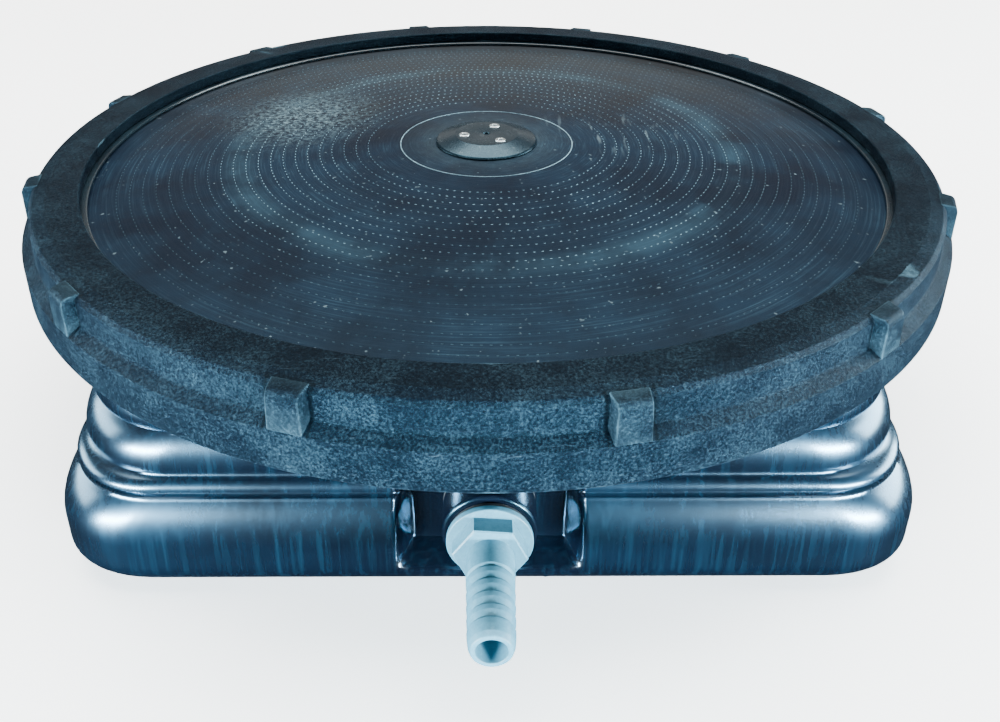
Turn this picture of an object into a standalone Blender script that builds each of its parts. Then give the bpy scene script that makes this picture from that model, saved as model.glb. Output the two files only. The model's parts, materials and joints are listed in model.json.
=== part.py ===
"""Membrane disc air diffuser for ponds, screwed to a sand-filled ballast base with a barbed air inlet.

Metres, +Z up. The origin is the centre of the base's underside, under the disc's axis. The air inlet points
along -Y and the filling plug along +Y. Every round piece is turned about its own joint axis.
"""

import math

import bmesh
import bpy
from mathutils import Matrix, Vector

# ---- Driving dimensions ----
RING_TOP_Z = 0.0958
CLEARANCE = 0.0003
ROUND_STEPS = 48
SMALL_STEPS = 24
COLLAR_STEPS = 32
WELL_STEPS = 36
CUTTER_OVERRUN = 0.002
EDGE_BREAK = 0.0008

# Ballast base: a rounded square in plan, three tiers high
BASE_HALF = 0.1364
BASE_CORNER = 0.0266
CORNER_SPREAD = 0.79
CORNER_STEPS = 6
BASE_WALL = 0.0030
FOOT_ROUND_WIDTH = 0.0131
FOOT_ROUND_HEIGHT = 0.0110
BELLY_Z = 0.0198
BELLY_LEAN = 0.0180
BELLY_RISE = 0.0224
BELLY_END_ANGLE = 41
FOOT_TOP_Z = 0.0345
GROOVE_DEPTH = 0.0013
STEP_HALF = 0.1320
STEP_Z = 0.0370
WAIST_Z = 0.0414
MIDDLE_HALF = 0.1293
MIDDLE_BELLY_Z = 0.0440
MIDDLE_LEAN = 0.0120
MIDDLE_RISE = 0.0155
MIDDLE_START_ANGLE = -9
MIDDLE_END_ANGLE = 40
UPPER_HALF = 0.1264
UPPER_START_ANGLE = -17
DECK_Z = 0.0690
DECK_ROUND = 0.0110
DECK_THICKNESS = 0.0030
DECK_HOLE_RADIUS = 0.0136
WELL_RADIUS = 0.0405
COVER_RADIUS = 0.0425
COVER_THICKNESS = 0.0030
COVER_HOLE_RADIUS = 0.0030
COVER_HOLE_REACH = 0.0250

# Front pocket and the channel of the air pipe
POCKET_HALF_WIDTH = 0.0290
POCKET_FLARE = 0.0008
POCKET_DRAFT = 0.0065
POCKET_LOW_Z = 0.0110
POCKET_HIGH_Z = 0.0525
POCKET_BACK = 0.1255
POCKET_CORNER = 0.0080
POCKET_CORNER_STEPS = 4
INLET_Z = 0.0278
CHANNEL_RADIUS = 0.0133

# Filling hole, in the middle of the back wall
FILLER_Z = 0.0215
FILLER_FACE = 0.1310
FILLER_RECESS_RADIUS = 0.0140
FILLER_HOLE_RADIUS = 0.0086
FILLER_HEAD_RADIUS = 0.0122
FILLER_HEAD_HEIGHT = 0.0036
FILLER_PLUG_RADIUS = 0.0081
FILLER_PLUG_LENGTH = 0.0085
FILLER_SLOT_WIDTH = 0.0024
FILLER_SLOT_DEPTH = 0.0025
SEAL_THICKNESS = 0.0012

# Clamp ring
RING_HOLE_RADIUS = 0.1494
RING_FACE_RADIUS = 0.1606
RING_RIM_RADIUS = 0.1648
RING_RIM_DROP = 0.0006
RING_WALL_RADIUS = 0.1661
RING_SKIRT_RADIUS = 0.1700
RING_WALL_TOP_Z = RING_TOP_Z - 0.0019
RING_WALL_LOW_Z = RING_TOP_Z - 0.0102
RING_LEDGE_Z = RING_TOP_Z - 0.0129
RING_SKIRT_Z = RING_TOP_Z - 0.0256
RING_LIP_THICKNESS = 0.0046
RING_UPPER_BORE = 0.1608
RING_THREAD_BORE = 0.1647
RING_STEP_Z = RING_TOP_Z - 0.0104
LUG_COUNT = 12
LUG_FIRST_ANGLE = math.radians(-18.0)
LUG_HALF_WIDTH = 0.0060
LUG_OUTER_HALF_WIDTH = 0.0050
LUG_ROOT_RADIUS = 0.1652
LUG_TOP_RADIUS = 0.1634
LUG_OUTER_RADIUS = 0.1698
LUG_ROUND = 0.0016

# Slip ring, membrane and carrier plate
SLIP_INNER_RADIUS = 0.1474
SLIP_OUTER_RADIUS = 0.1600
SLIP_THICKNESS = 0.0014
MEMBRANE_THICKNESS = 0.0020
MEMBRANE_DOME = 0.0070
BEAD_INNER_RADIUS = 0.1500
BEAD_OUTER_RADIUS = 0.1590
BEAD_HEIGHT = 0.0055
MEMBRANE_HOLE_RADIUS = 0.0115
PLATE_THICKNESS = 0.0035
PLATE_RIM_RADIUS = 0.1603
PLATE_THREAD_RADIUS = 0.1640
PLATE_THREAD_Z = RING_TOP_Z - 0.0226
PLATE_RIM_INNER = 0.1560
HUB_RADIUS = 0.0300
HUB_GASKET_THICKNESS = 0.0015
RIB_COUNT = 12
RIB_THICKNESS = 0.0025
RIB_LOW_Z = RING_TOP_Z - 0.0212
SPIGOT_RADIUS = 0.0131
SPIGOT_LOW_Z = INLET_Z + 0.0102
SPIGOT_BORE_RADIUS = 0.0095

# Check valve and centre cap
SEAT_RADIUS = 0.0040
SEAT_Z = RING_TOP_Z - 0.0063
CHAMBER_RADIUS = 0.0066
VALVE_RADIUS = 0.0058
VALVE_THICKNESS = 0.0014
VALVE_STEM_WIDTH = 0.0068
VALVE_STEM_THICKNESS = 0.0014
VALVE_STEM_LENGTH = 0.0050
AIR_GROOVE_REACH = 0.0460
AIR_GROOVE_WIDTH = 0.0040
AIR_GROOVE_DEPTH = 0.0015
CAP_BASE_RADIUS = 0.0197
CAP_TOP_RADIUS = 0.0121
CAP_HEIGHT = 0.0028
CAP_GATE_RADIUS = 0.0013
SCREW_COUNT = 3
SCREW_CIRCLE = 0.0086
SCREW_FIRST_ANGLE = math.radians(68.0)
SCREW_HEAD_RADIUS = 0.0021
SCREW_HEAD_HEIGHT = 0.0012
SCREW_HEAD_STAND = 0.0004
SCREW_SHANK_RADIUS = 0.0012
SCREW_LENGTH = 0.0115

# Air line
PIPE_RADIUS = 0.0100
PIPE_BORE_RADIUS = 0.0082
SOCKET_RADIUS = 0.0103
ELBOW_RADIUS = 0.0145
ELBOW_HUB_RADIUS = 0.0175
ELBOW_REACH = 0.0360
ELBOW_LOW_Z = INLET_Z - 0.0165
ELBOW_TOP_Z = INLET_Z + 0.0230
ELBOW_SOCKET_DEPTH = 0.0145
NUT_ACROSS_FLATS = 0.0380
NUT_HEIGHT = 0.0080
WASHER_RADIUS = 0.0240
WASHER_THICKNESS = 0.0015

# Inlet collar and hose tail, as distances from the disc's axis towards -Y
COLLAR_RADIUS = 0.01425
COLLAR_NECK_RADIUS = 0.0128
COLLAR_FRONT = 0.1397
COLLAR_BACK = 0.1080
COLLAR_STOP = 0.1230
COLLAR_STOP_THICKNESS = 0.0010
TAIL_FLANGE_RADIUS = 0.0129
TAIL_FLANGE_THICKNESS = 0.0022
TAIL_THREAD_RADIUS = 0.0093
TAIL_THREAD_LENGTH = 0.0145
TAIL_HEX_ACROSS_FLATS = 0.0193
TAIL_HEX_LENGTH = 0.0056
TAIL_HEX_TURN = math.radians(-5.0)
TAIL_BARREL_RADIUS = 0.0070
TAIL_BARREL_END = 0.1583
TAIL_BORE_RADIUS = 0.0043
TAIL_TIP = 0.1820
BARB_COUNT = 4
BARB_PITCH = 0.0043
BARB_CREST_RADIUS = 0.0070
BARB_ROOT_RADIUS = 0.0065
BARB_TAPER = 0.0003
TIP_FACE_RADIUS = 0.0058

# ---- Worked-out places ----
SLIP_TOP_Z = RING_TOP_Z - RING_LIP_THICKNESS - CLEARANCE
MEMBRANE_EDGE_Z = SLIP_TOP_Z - SLIP_THICKNESS - CLEARANCE
BEAD_LOW_Z = MEMBRANE_EDGE_Z - BEAD_HEIGHT
HUB_LOW_Z = DECK_Z + HUB_GASKET_THICKNESS + 2 * CLEARANCE
CAP_LOW_Z = MEMBRANE_EDGE_Z + MEMBRANE_DOME + CLEARANCE
CAP_TOP_Z = CAP_LOW_Z + CAP_HEIGHT
SEALED_GAP = SEAL_THICKNESS + 2 * CLEARANCE
COLLAR_SHOULDER = POCKET_BACK + SEALED_GAP
TAIL_FLANGE_BACK = COLLAR_FRONT + SEALED_GAP
TAIL_FLANGE_FRONT = TAIL_FLANGE_BACK + TAIL_FLANGE_THICKNESS
TAIL_HEX_FRONT = TAIL_FLANGE_FRONT + TAIL_HEX_LENGTH


# ---- Building helpers ----
def clear_scene():
    for obj in list(bpy.data.objects):
        bpy.data.objects.remove(obj, do_unlink=True)


def make_material(name, colour, roughness, metallic=0.0):
    """A Principled material, which a second piece of the same stuff shares."""
    found = bpy.data.materials.get(name)
    if found:
        return found
    made = bpy.data.materials.new(name)
    made.use_nodes = True
    shader = made.node_tree.nodes["Principled BSDF"]
    shader.inputs["Base Color"].default_value = (*colour, 1.0)
    shader.inputs["Roughness"].default_value = roughness
    shader.inputs["Metallic"].default_value = metallic
    return made


def add_object(name, shape, material=None, location=(0, 0, 0), rotation=(0, 0, 0)):
    """Turns a bmesh into a named object, shaded smooth except over real edges."""
    bmesh.ops.recalc_face_normals(shape, faces=shape.faces)
    mesh = bpy.data.meshes.new(name)
    shape.to_mesh(mesh)
    shape.free()
    mesh.shade_smooth()
    mesh.set_sharp_from_angle(angle=math.radians(35))
    if material:
        mesh.materials.append(material)
    obj = bpy.data.objects.new(name, mesh)
    obj.location = location
    obj.rotation_euler = rotation
    bpy.context.scene.collection.objects.link(obj)
    return obj


def boolean(obj, tool, operation):
    """Cuts or joins obj with a hidden tool, which stays editable on the modifier."""
    tool.hide_render = True
    tool.display_type = "WIRE"
    step = obj.modifiers.new(f"{operation.lower()}_{tool.name}", "BOOLEAN")
    step.operation = operation
    step.solver = "EXACT"
    step.object = tool


def cut(obj, *tools):
    for tool in tools:
        boolean(obj, tool, "DIFFERENCE")


def join(obj, *tools):
    for tool in tools:
        boolean(obj, tool, "UNION")


def turned(outline, steps=SMALL_STEPS):
    """Spins an outline of (radius, height) about Z. It may start and end on the axis, or close on itself."""
    shape = bmesh.new()
    points = [shape.verts.new((radius, 0.0, height)) for radius, height in outline]
    ends_on_axis = outline[0][0] == 0 and outline[-1][0] == 0
    pairs = list(zip(points, points[1:]))
    if not ends_on_axis:
        pairs.append((points[-1], points[0]))
    edges = [shape.edges.new(pair) for pair in pairs]
    bmesh.ops.spin(
        shape,
        geom=points + edges,
        cent=(0, 0, 0),
        axis=(0, 0, 1),
        angle=math.tau,
        steps=steps,
        use_merge=True,
    )
    bmesh.ops.remove_doubles(shape, verts=shape.verts, dist=1e-6)
    return shape


def ring_outline(inner, outer, low, high):
    """A rectangular section."""
    return [(inner, high), (outer, high), (outer, low), (inner, low)]


def rod(radius, low, high, steps=SMALL_STEPS):
    return turned([(0, high), (radius, high), (radius, low), (0, low)], steps)


def block(size, centre):
    shape = bmesh.new()
    bmesh.ops.create_cube(shape, size=1.0, matrix=Matrix.Translation(centre) @ Matrix.Diagonal((*size, 1)))
    return shape


def hexagon(across_flats, low, high):
    """A hexagonal prism with a flat facing +X and -X of its own frame."""
    shape = bmesh.new()
    bmesh.ops.create_cone(
        shape,
        cap_ends=True,
        segments=6,
        radius1=across_flats / math.sqrt(3),
        radius2=across_flats / math.sqrt(3),
        depth=high - low,
        matrix=Matrix.Translation((0, 0, (low + high) / 2)) @ Matrix.Rotation(math.radians(30), 4, "Z"),
    )
    return shape


def ellipse_arc(centre_out, centre_z, reach_out, reach_z, start, end, steps):
    """Points (out, z) on an ellipse; angle 0 points outward and 90 degrees up."""
    angles = [math.radians(start + (end - start) * index / steps) for index in range(steps + 1)]
    return [(centre_out + reach_out * math.cos(a), centre_z + reach_z * math.sin(a)) for a in angles]


def swell(half, depth, low, high, steps):
    """Points of a wall that swells out by depth between two heights, or sinks in where depth is negative."""
    return [
        (half + depth * math.sin(math.pi * index / steps), low + (high - low) * index / steps)
        for index in range(steps + 1)
    ]


def rounded_square(half, corner, height):
    """One plan outline, corner after corner, counter-clockwise."""
    points = []
    for quarter in range(4):
        middle = math.radians(45 + 90 * quarter)
        centre = Vector((math.copysign(half - corner, math.cos(middle)),
                         math.copysign(half - corner, math.sin(middle)), height))
        for index in range(CORNER_STEPS + 1):
            angle = math.radians(90 * quarter + 90 * index / CORNER_STEPS)
            points.append(centre + corner * Vector((math.cos(angle), math.sin(angle), 0)))
    return points


def stacked(levels):
    """A solid whose plan at each level is a rounded square of that half width."""
    shape = bmesh.new()
    loops = []
    for half, height in levels:
        corner = BASE_CORNER + CORNER_SPREAD * (BASE_HALF - half)
        loops.append([shape.verts.new(p) for p in rounded_square(half, corner, height)])
    for lower, upper in zip(loops, loops[1:]):
        for index in range(len(lower)):
            following = (index + 1) % len(lower)
            shape.faces.new((lower[index], lower[following], upper[following], upper[index]))
    shape.faces.new(reversed(loops[0]))
    shape.faces.new(loops[-1])
    return shape


def copies(count, first_angle):
    return [first_angle + math.tau * index / count for index in range(count)]


# ---- Ballast base ----
def base_levels():
    """The outside of the base from its floor to its deck, as (half width, height)."""
    foot = ellipse_arc(BASE_HALF - FOOT_ROUND_WIDTH, FOOT_ROUND_HEIGHT, FOOT_ROUND_WIDTH, FOOT_ROUND_HEIGHT,
                       -90, 0, 6)
    belly = ellipse_arc(BASE_HALF - BELLY_LEAN, BELLY_Z, BELLY_LEAN, BELLY_RISE, 0, BELLY_END_ANGLE, 4)
    groove = swell(STEP_HALF, -GROOVE_DEPTH, FOOT_TOP_Z + CLEARANCE, STEP_Z, 3)
    step = ellipse_arc(STEP_HALF - (WAIST_Z - STEP_Z), STEP_Z, WAIST_Z - STEP_Z, WAIST_Z - STEP_Z, 10, 62, 3)
    middle = ellipse_arc(MIDDLE_HALF - MIDDLE_LEAN, MIDDLE_BELLY_Z, MIDDLE_LEAN, MIDDLE_RISE,
                         MIDDLE_START_ANGLE, MIDDLE_END_ANGLE, 5)
    upper = ellipse_arc(UPPER_HALF - DECK_ROUND, DECK_Z - DECK_ROUND, DECK_ROUND, DECK_ROUND,
                        UPPER_START_ANGLE, 90, 7)
    return foot + belly + groove + step + middle + upper


def hollow_levels(gap):
    """The inside of the base, simpler than the outside and BASE_WALL or more in from it."""
    inset = BASE_WALL + gap
    return [
        (BASE_HALF - FOOT_ROUND_WIDTH - inset, inset),
        (BASE_HALF - FOOT_ROUND_WIDTH / 3 - inset, FOOT_ROUND_HEIGHT / 2 + inset),
        (BASE_HALF - FOOT_ROUND_WIDTH / 12 - inset, BELLY_Z - gap),
        (STEP_HALF - 2 * GROOVE_DEPTH - inset, FOOT_TOP_Z - gap),
        (MIDDLE_HALF - 2 * GROOVE_DEPTH - inset, STEP_Z - gap),
        (UPPER_HALF - 2 * GROOVE_DEPTH - inset, MIDDLE_BELLY_Z + MIDDLE_LEAN - gap),
        (UPPER_HALF - DECK_ROUND - inset, DECK_Z - inset),
    ]


def along_front(shape):
    """Turns a shape built along +Z so that it runs along -Y at the inlet's height."""
    shape.transform(Matrix.Translation((0, 0, INLET_Z)) @ Matrix.Rotation(math.pi / 2, 4, "X"))
    return shape


def along_back(shape):
    """Turns a shape built along +Z so that it runs along +Y at the filling hole's height."""
    shape.transform(Matrix.Translation((0, 0, FILLER_Z)) @ Matrix.Rotation(-math.pi / 2, 4, "X"))
    return shape


def pocket_shape(grow):
    """The front pocket, narrower at its back than at its mouth, grown all round by grow."""
    shape = bmesh.new()
    loops = []
    for reach, narrower in ((POCKET_BACK - grow, POCKET_DRAFT), (BASE_HALF + CUTTER_OVERRUN, -POCKET_FLARE)):
        half = POCKET_HALF_WIDTH - narrower + grow
        low = POCKET_LOW_Z + narrower / 4 - grow
        high = POCKET_HIGH_Z + grow
        loop = []
        for corner_x, corner_z, start in ((half, high, 0), (-half, high, 90), (-half, low, 180), (half, low, 270)):
            centre_x = math.copysign(half - POCKET_CORNER, corner_x)
            centre_z = high - POCKET_CORNER if corner_z == high else low + POCKET_CORNER
            for index in range(POCKET_CORNER_STEPS + 1):
                angle = math.radians(start + 90 * index / POCKET_CORNER_STEPS)
                loop.append(shape.verts.new((centre_x + POCKET_CORNER * math.cos(angle), -reach,
                                             centre_z + POCKET_CORNER * math.sin(angle))))
        loops.append(loop)
    back, mouth = loops
    for index in range(len(back)):
        following = (index + 1) % len(back)
        shape.faces.new((back[index], back[following], mouth[following], mouth[index]))
    shape.faces.new(reversed(back))
    shape.faces.new(mouth)
    return shape


def cut_service_spaces(obj, grow, tag):
    """Keeps an inner solid clear of the well, the pipe's channel, the pocket and the filling recess."""
    cut(
        obj,
        add_object(f"{tag}_well", rod(COVER_RADIUS + grow, -CUTTER_OVERRUN, DECK_Z + CUTTER_OVERRUN, WELL_STEPS)),
        add_object(f"{tag}_channel", along_front(rod(CHANNEL_RADIUS + grow, WELL_RADIUS / 2, BASE_HALF))),
        add_object(f"{tag}_pocket", pocket_shape(grow)),
        add_object(f"{tag}_recess", along_back(rod(FILLER_RECESS_RADIUS + grow, FILLER_FACE - grow,
                                                   BASE_HALF + CUTTER_OVERRUN))),
    )


def make_ballast_shell():
    """Hollow shell: the outside, less one inner hollow that opens through the filling hole."""
    plastic = make_material("black_polyethylene", (0.014, 0.017, 0.021), 0.30)
    shell = add_object("ballast_shell", stacked(base_levels()), plastic)
    hollow = add_object("shell_hollow", stacked(hollow_levels(0.0)))
    cut_service_spaces(hollow, BASE_WALL, "hollow")
    well_outline = [
        (0, DECK_Z - DECK_THICKNESS),
        (WELL_RADIUS, DECK_Z - DECK_THICKNESS),
        (WELL_RADIUS, COVER_THICKNESS + CLEARANCE),
        (COVER_RADIUS, COVER_THICKNESS + CLEARANCE),
        (COVER_RADIUS, -CUTTER_OVERRUN),
        (0, -CUTTER_OVERRUN),
    ]
    well = add_object("shell_well", turned(well_outline, WELL_STEPS))
    deck_hole = add_object("shell_deck_hole", rod(DECK_HOLE_RADIUS, WELL_RADIUS, DECK_Z + CUTTER_OVERRUN))
    channel = add_object("shell_channel", along_front(rod(CHANNEL_RADIUS, WELL_RADIUS / 2, BASE_HALF)))
    pocket = add_object("shell_pocket", pocket_shape(0.0))
    recess = add_object("shell_recess", along_back(rod(FILLER_RECESS_RADIUS, FILLER_FACE,
                                                       BASE_HALF + CUTTER_OVERRUN)))
    filling = add_object("shell_filling", along_back(rod(FILLER_HOLE_RADIUS, WELL_RADIUS * 3, BASE_HALF)))
    cut(shell, hollow, well, deck_hole, channel, pocket, recess, filling)
    return shell


def make_ballast_fill():
    """Sand that fills the shell's hollow, with the gap that touching pieces keep."""
    sand = make_material("sand", (0.42, 0.34, 0.24), 0.95)
    fill = add_object("ballast_fill", stacked(hollow_levels(CLEARANCE)), sand)
    cut_service_spaces(fill, BASE_WALL + CLEARANCE, "fill")
    cut(fill, add_object("fill_plug_room", along_back(rod(FILLER_HEAD_RADIUS,
                                                          FILLER_FACE - 2 * FILLER_PLUG_LENGTH, BASE_HALF))))
    return fill


def make_well_cover():
    """Push-in cover that closes the well from below, flush with the underside, with two finger holes."""
    plastic = make_material("black_cap", (0.020, 0.022, 0.025), 0.45)
    cover = add_object("well_cover", rod(COVER_RADIUS - CLEARANCE, 0, COVER_THICKNESS, WELL_STEPS), plastic)
    holes = bmesh.new()
    for side in (-1, 1):
        place = Matrix.Translation((side * COVER_HOLE_REACH, 0, COVER_THICKNESS / 2))
        bmesh.ops.create_cone(holes, cap_ends=True, segments=SMALL_STEPS, radius1=COVER_HOLE_RADIUS,
                              radius2=COVER_HOLE_RADIUS, depth=3 * COVER_THICKNESS, matrix=place)
    cut(cover, add_object("well_cover_holes", holes))
    return cover


def make_filler_cap():
    """Screw plug with a slotted round head, turned about +Y."""
    plastic = make_material("black_cap", (0.020, 0.022, 0.025), 0.45)
    head_front = SEALED_GAP + FILLER_HEAD_HEIGHT
    plug_end = SEALED_GAP - FILLER_PLUG_LENGTH
    outline = [
        (0, head_front),
        (FILLER_HEAD_RADIUS - EDGE_BREAK, head_front),
        (FILLER_HEAD_RADIUS, head_front - EDGE_BREAK),
        (FILLER_HEAD_RADIUS, SEALED_GAP),
        (FILLER_PLUG_RADIUS, SEALED_GAP),
        (FILLER_PLUG_RADIUS, plug_end + EDGE_BREAK),
        (FILLER_PLUG_RADIUS - EDGE_BREAK, plug_end),
        (0, plug_end),
    ]
    place = {"location": (0, FILLER_FACE, FILLER_Z), "rotation": (-math.pi / 2, 0, 0)}
    cap = add_object("filler_cap", turned(outline), plastic, **place)
    slot_size = (1.6 * FILLER_HEAD_RADIUS, FILLER_SLOT_WIDTH, 2 * FILLER_SLOT_DEPTH)
    cut(cap, add_object("filler_cap_slot", block(slot_size, (0, 0, head_front)), **place))
    return cap


def make_filler_seal():
    rubber = make_material("black_rubber", (0.012, 0.012, 0.013), 0.75)
    outline = ring_outline(FILLER_HOLE_RADIUS, FILLER_HEAD_RADIUS - EDGE_BREAK, CLEARANCE,
                           CLEARANCE + SEAL_THICKNESS)
    return add_object("filler_seal", turned(outline), rubber, location=(0, FILLER_FACE, FILLER_Z),
                      rotation=(-math.pi / 2, 0, 0))


# ---- Diffuser disc ----
def dome_z(radius):
    """Height of the membrane's top face: a shallow dome, lowest at the slip ring."""
    return MEMBRANE_EDGE_Z + MEMBRANE_DOME * (1 - (radius / SLIP_INNER_RADIUS) ** 2)


def dome_line(inner, outer, drop, steps):
    """Points (radius, height) along the dome, drop below the membrane's top face."""
    radii = [inner + (outer - inner) * index / steps for index in range(steps + 1)]
    return [(radius, dome_z(radius) - drop) for radius in radii]


def make_clamp_ring():
    """Screw-on ring: flat face, sloping rim, upper wall, ledge and thick skirt, with grip lugs round the wall."""
    plastic = make_material("black_polypropylene", (0.028, 0.031, 0.034), 0.50)
    lip_low = RING_TOP_Z - RING_LIP_THICKNESS
    outline = [
        (RING_HOLE_RADIUS, RING_TOP_Z - EDGE_BREAK / 2),
        (RING_HOLE_RADIUS + EDGE_BREAK / 2, RING_TOP_Z),
        (RING_FACE_RADIUS, RING_TOP_Z),
        (RING_RIM_RADIUS, RING_TOP_Z - RING_RIM_DROP),
        (RING_WALL_RADIUS - EDGE_BREAK / 2, RING_WALL_TOP_Z + EDGE_BREAK),
        (RING_WALL_RADIUS, RING_WALL_TOP_Z),
        (RING_WALL_RADIUS, RING_WALL_LOW_Z),
        (RING_SKIRT_RADIUS - EDGE_BREAK / 2, RING_LEDGE_Z),
        (RING_SKIRT_RADIUS, RING_LEDGE_Z - EDGE_BREAK / 2),
        (RING_SKIRT_RADIUS, RING_SKIRT_Z + EDGE_BREAK / 2),
        (RING_SKIRT_RADIUS - EDGE_BREAK / 2, RING_SKIRT_Z),
        (RING_THREAD_BORE, RING_SKIRT_Z),
        (RING_THREAD_BORE, RING_STEP_Z),
        (RING_UPPER_BORE, RING_STEP_Z),
        (RING_UPPER_BORE, lip_low),
        (RING_HOLE_RADIUS, lip_low),
    ]
    ring = add_object("clamp_ring", turned(outline, ROUND_STEPS), plastic)
    join(ring, add_object("clamp_ring_lugs", lug_shapes()))
    return ring


def lug_side():
    """A lug's outline seen from its side, as (radius, height), from its root round its outer face."""
    low = RING_LEDGE_Z - EDGE_BREAK
    high = RING_TOP_Z - CLEARANCE / 2
    shelf = RING_WALL_TOP_Z - LUG_ROUND
    return [
        (LUG_ROOT_RADIUS, low),
        (LUG_OUTER_RADIUS, low),
        (LUG_OUTER_RADIUS - CLEARANCE, high - 2 * LUG_ROUND),
        (LUG_OUTER_RADIUS - LUG_ROUND / 2, high - LUG_ROUND),
        (LUG_OUTER_RADIUS - LUG_ROUND * 1.6, high - CLEARANCE),
        (LUG_TOP_RADIUS, high),
        (LUG_TOP_RADIUS, shelf),
        (LUG_ROOT_RADIUS, shelf),
    ]


def lug_shapes():
    """All the grip lugs as one tool: flush with the skirt, sunk into the wall and narrower outside."""
    shape = bmesh.new()
    draft = (LUG_HALF_WIDTH - LUG_OUTER_HALF_WIDTH) / (LUG_OUTER_RADIUS - LUG_ROOT_RADIUS)
    for angle in copies(LUG_COUNT, LUG_FIRST_ANGLE):
        turn = Matrix.Rotation(angle, 4, "Z")
        ends = []
        for side in (-1, 1):
            ends.append([])
            for out, height in lug_side():
                half = LUG_HALF_WIDTH - draft * max(out - LUG_ROOT_RADIUS, 0)
                ends[-1].append(shape.verts.new(turn @ Vector((side * half, -out, height))))
        left, right = ends
        for index in range(len(left)):
            following = (index + 1) % len(left)
            shape.faces.new((left[index], left[following], right[following], right[index]))
        shape.faces.new(left)
        shape.faces.new(reversed(right))
    return shape


def make_slip_ring():
    """Low-friction ring between the turning clamp ring and the rubber; its inner edge shows."""
    plastic = make_material("slip_ring_plastic", (0.050, 0.062, 0.070), 0.30)
    outline = ring_outline(SLIP_INNER_RADIUS, SLIP_OUTER_RADIUS, SLIP_TOP_Z - SLIP_THICKNESS, SLIP_TOP_Z)
    return add_object("slip_ring", turned(outline, ROUND_STEPS), plastic)


def make_membrane():
    """Rubber disc with a thick bead round its edge and a hole for the centre cap's plug."""
    rubber = make_material("membrane_rubber", (0.016, 0.022, 0.030), 0.42)
    outline = [
        *dome_line(MEMBRANE_HOLE_RADIUS, SLIP_INNER_RADIUS, 0.0, 4),
        (BEAD_OUTER_RADIUS - EDGE_BREAK, MEMBRANE_EDGE_Z),
        (BEAD_OUTER_RADIUS, MEMBRANE_EDGE_Z - EDGE_BREAK),
        (BEAD_OUTER_RADIUS, BEAD_LOW_Z + EDGE_BREAK),
        (BEAD_OUTER_RADIUS - EDGE_BREAK, BEAD_LOW_Z),
        (BEAD_INNER_RADIUS + EDGE_BREAK, BEAD_LOW_Z),
        (BEAD_INNER_RADIUS, BEAD_LOW_Z + EDGE_BREAK),
        *reversed(dome_line(MEMBRANE_HOLE_RADIUS, BEAD_INNER_RADIUS, MEMBRANE_THICKNESS, 4)),
    ]
    return add_object("membrane", turned(outline, ROUND_STEPS), rubber)


def plate_top_drop():
    return MEMBRANE_THICKNESS + CLEARANCE


def make_support_plate():
    """Carrier: domed plate with a bead groove, threaded rim, ribs, hub and hollow spigot."""
    plastic = make_material("grey_polypropylene", (0.060, 0.066, 0.070), 0.50)
    groove_low = BEAD_LOW_Z - CLEARANCE
    groove_inner = BEAD_INNER_RADIUS - 1.5 * CLEARANCE
    groove_outer = BEAD_OUTER_RADIUS + 1.5 * CLEARANCE
    web_outer = groove_inner - PLATE_THICKNESS
    rim_high = MEMBRANE_EDGE_Z - EDGE_BREAK
    thread_high = RING_STEP_Z - 2 * CLEARANCE
    web = PLATE_THICKNESS + plate_top_drop()
    outline = [
        *dome_line(CHAMBER_RADIUS, groove_inner, plate_top_drop(), 4),
        (groove_inner, groove_low),
        (groove_outer, groove_low),
        (groove_outer, rim_high),
        (PLATE_RIM_RADIUS, rim_high),
        (PLATE_RIM_RADIUS, thread_high),
        (PLATE_THREAD_RADIUS, thread_high),
        (PLATE_THREAD_RADIUS, PLATE_THREAD_Z),
        (PLATE_RIM_INNER, PLATE_THREAD_Z),
        (PLATE_RIM_INNER, groove_low - PLATE_THICKNESS),
        *reversed(dome_line(HUB_RADIUS, web_outer, web, 3)),
        (HUB_RADIUS, HUB_LOW_Z),
        (SPIGOT_RADIUS, HUB_LOW_Z),
        (SPIGOT_RADIUS, SPIGOT_LOW_Z + EDGE_BREAK),
        (SPIGOT_RADIUS - EDGE_BREAK, SPIGOT_LOW_Z),
        (SPIGOT_BORE_RADIUS, SPIGOT_LOW_Z),
        (SPIGOT_BORE_RADIUS, SEAT_Z - RIB_THICKNESS),
        (SEAT_RADIUS, SEAT_Z - RIB_THICKNESS + EDGE_BREAK),
        (SEAT_RADIUS, SEAT_Z),
        (CHAMBER_RADIUS, SEAT_Z),
    ]
    plate = add_object("support_plate", turned(outline, ROUND_STEPS), plastic)
    ribs = bmesh.new()
    for angle in copies(RIB_COUNT, 0.0):
        inner = HUB_RADIUS - CUTTER_OVERRUN
        outer = PLATE_RIM_INNER + CUTTER_OVERRUN
        place = Matrix.Rotation(angle, 4, "Z") @ Matrix.Translation(((inner + outer) / 2, 0,
                                                                    (RIB_LOW_Z + groove_low) / 2))
        size = Matrix.Diagonal((outer - inner, RIB_THICKNESS, groove_low - RIB_LOW_Z, 1))
        bmesh.ops.create_cube(ribs, size=1.0, matrix=place @ size)
    join(plate, add_object("plate_ribs", ribs))
    cut(plate, add_object("plate_air_grooves", air_groove_shapes()),
        add_object("plate_screw_holes", screw_hole_shapes()))
    return plate


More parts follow.
